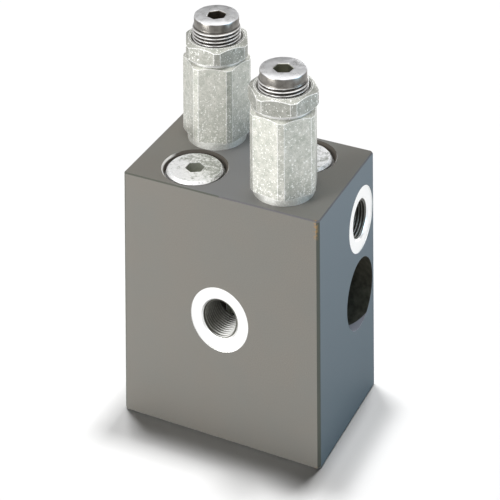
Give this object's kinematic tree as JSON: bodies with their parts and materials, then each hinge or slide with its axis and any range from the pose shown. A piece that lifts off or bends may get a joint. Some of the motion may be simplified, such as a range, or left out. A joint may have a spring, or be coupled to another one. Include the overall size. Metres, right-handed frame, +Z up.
{
  "type": "double counterbalance valve",
  "caption": "Steel manifold block with two adjustable relief cartridges, two check valves under sunk hexagon-socket plugs, threaded side ports and a smooth cross bore.",
  "frame": {"origin": "middle of the block's base face", "axes": "+Z up along the cartridges, -Y out of the supply port, +X out of the visible cylinder port"},
  "size_m": [0.12, 0.08, 0.206],
  "materials": {
    "phosphated_steel": "satin",
    "zinc_plated_steel": "satin",
    "washer_steel": "satin",
    "bright_steel": "satin",
    "plug_steel": "satin",
    "spring_steel": "satin",
    "seal_rubber": "matte",
    "backup_plastic": "matte"
  },
  "bodies": {
    "manifold": {"manifold_block": "phosphated_steel", "gallery_plugs": "plug_steel", "cartridge_body_front": "zinc_plated_steel", "relief_seat_front": "bright_steel", "collar_seal_front": "seal_rubber", "sleeve_seal_front": "seal_rubber", "nose_seal_front": "seal_rubber", "nose_backup_ring_front": "backup_plastic", "check_plug_front": "plug_steel", "plug_seal_front": "seal_rubber", "cartridge_body_rear": "zinc_plated_steel", "relief_seat_rear": "bright_steel", "collar_seal_rear": "seal_rubber", "sleeve_seal_rear": "seal_rubber", "nose_seal_rear": "seal_rubber", "nose_backup_ring_rear": "backup_plastic", "check_plug_rear": "plug_steel", "plug_seal_rear": "seal_rubber"},
    "spring_seat_front": {"upper_spring_seat_front": "bright_steel"},
    "adjuster_front": {"adjusting_screw_front": "bright_steel", "adjuster_seal_front": "seal_rubber"},
    "nut_washer_front": {"nut_seal_washer_front": "washer_steel"},
    "nut_front": {"lock_nut_front": "zinc_plated_steel"},
    "relief_front": {"relief_piston_front": "bright_steel", "piston_seal_front": "seal_rubber", "lower_spring_seat_front": "bright_steel", "main_spring_front": "spring_steel"},
    "check_front": {"check_poppet_front": "bright_steel", "check_spring_front": "spring_steel"},
    "spring_seat_rear": {"upper_spring_seat_rear": "bright_steel"},
    "adjuster_rear": {"adjusting_screw_rear": "bright_steel", "adjuster_seal_rear": "seal_rubber"},
    "nut_washer_rear": {"nut_seal_washer_rear": "washer_steel"},
    "nut_rear": {"lock_nut_rear": "zinc_plated_steel"},
    "relief_rear": {"relief_piston_rear": "bright_steel", "piston_seal_rear": "seal_rubber", "lower_spring_seat_rear": "bright_steel", "main_spring_rear": "spring_steel"},
    "check_rear": {"check_poppet_rear": "bright_steel", "check_spring_rear": "spring_steel"}
  },
  "joints": [
    {"name": "adjuster_rise_front", "type": "slide", "parent": "manifold", "child": "spring_seat_front", "axis": [0, 0, 1], "range_m": [-0.003, 0.004]},
    {"name": "adjuster_turn_front", "type": "hinge", "parent": "spring_seat_front", "child": "adjuster_front", "pos_m": [0.02975, -0.01837, 0.203], "axis": [0, 0, 1], "range_deg": [-542, 722]},
    {"name": "nut_rise_front", "type": "slide", "parent": "manifold", "child": "nut_washer_front", "axis": [0, 0, 1], "range_m": [0, 0.002]},
    {"name": "nut_turn_front", "type": "hinge", "parent": "nut_washer_front", "child": "nut_front", "pos_m": [0.02975, -0.01837, 0.1835], "axis": [0, 0, 1], "range_deg": [-2, 362]},
    {"name": "relief_lift_front", "type": "slide", "parent": "manifold", "child": "relief_front", "axis": [0, 0, 1], "range_m": [0, 0.003], "stiffness_N_per_m": 43000, "springref_m": -0.006, "deforming": ["main_spring_front"]},
    {"name": "check_lift_front", "type": "slide", "parent": "manifold", "child": "check_front", "axis": [0, 0, 1], "range_m": [0, 0.005], "stiffness_N_per_m": 3400, "springref_m": -0.004, "deforming": ["check_spring_front"]},
    {"name": "adjuster_rise_rear", "type": "slide", "parent": "manifold", "child": "spring_seat_rear", "axis": [0, 0, 1], "range_m": [-0.006, 0.001]},
    {"name": "adjuster_turn_rear", "type": "hinge", "parent": "spring_seat_rear", "child": "adjuster_rear", "pos_m": [-0.02975, 0.01837, 0.206], "axis": [0, 0, 1], "range_deg": [-1082, 182]},
    {"name": "nut_rise_rear", "type": "slide", "parent": "manifold", "child": "nut_washer_rear", "axis": [0, 0, 1], "range_m": [0, 0.002]},
    {"name": "nut_turn_rear", "type": "hinge", "parent": "nut_washer_rear", "child": "nut_rear", "pos_m": [-0.02975, 0.01837, 0.1835], "axis": [0, 0, 1], "range_deg": [-2, 362]},
    {"name": "relief_lift_rear", "type": "slide", "parent": "manifold", "child": "relief_rear", "axis": [0, 0, 1], "range_m": [0, 0.003], "stiffness_N_per_m": 43000, "springref_m": -0.006, "deforming": ["main_spring_rear"]},
    {"name": "check_lift_rear", "type": "slide", "parent": "manifold", "child": "check_rear", "axis": [0, 0, 1], "range_m": [0, 0.005], "stiffness_N_per_m": 3400, "springref_m": -0.004, "deforming": ["check_spring_rear"]}
  ],
  "couplings": [
    {"joint": "adjuster_turn_front", "follows": "adjuster_rise_front", "rad_per_m": 3141.6},
    {"joint": "nut_turn_front", "follows": "nut_rise_front", "rad_per_m": 3141.6},
    {"joint": "adjuster_turn_rear", "follows": "adjuster_rise_rear", "rad_per_m": 3141.6},
    {"joint": "nut_turn_rear", "follows": "nut_rise_rear", "rad_per_m": 3141.6}
  ]
}
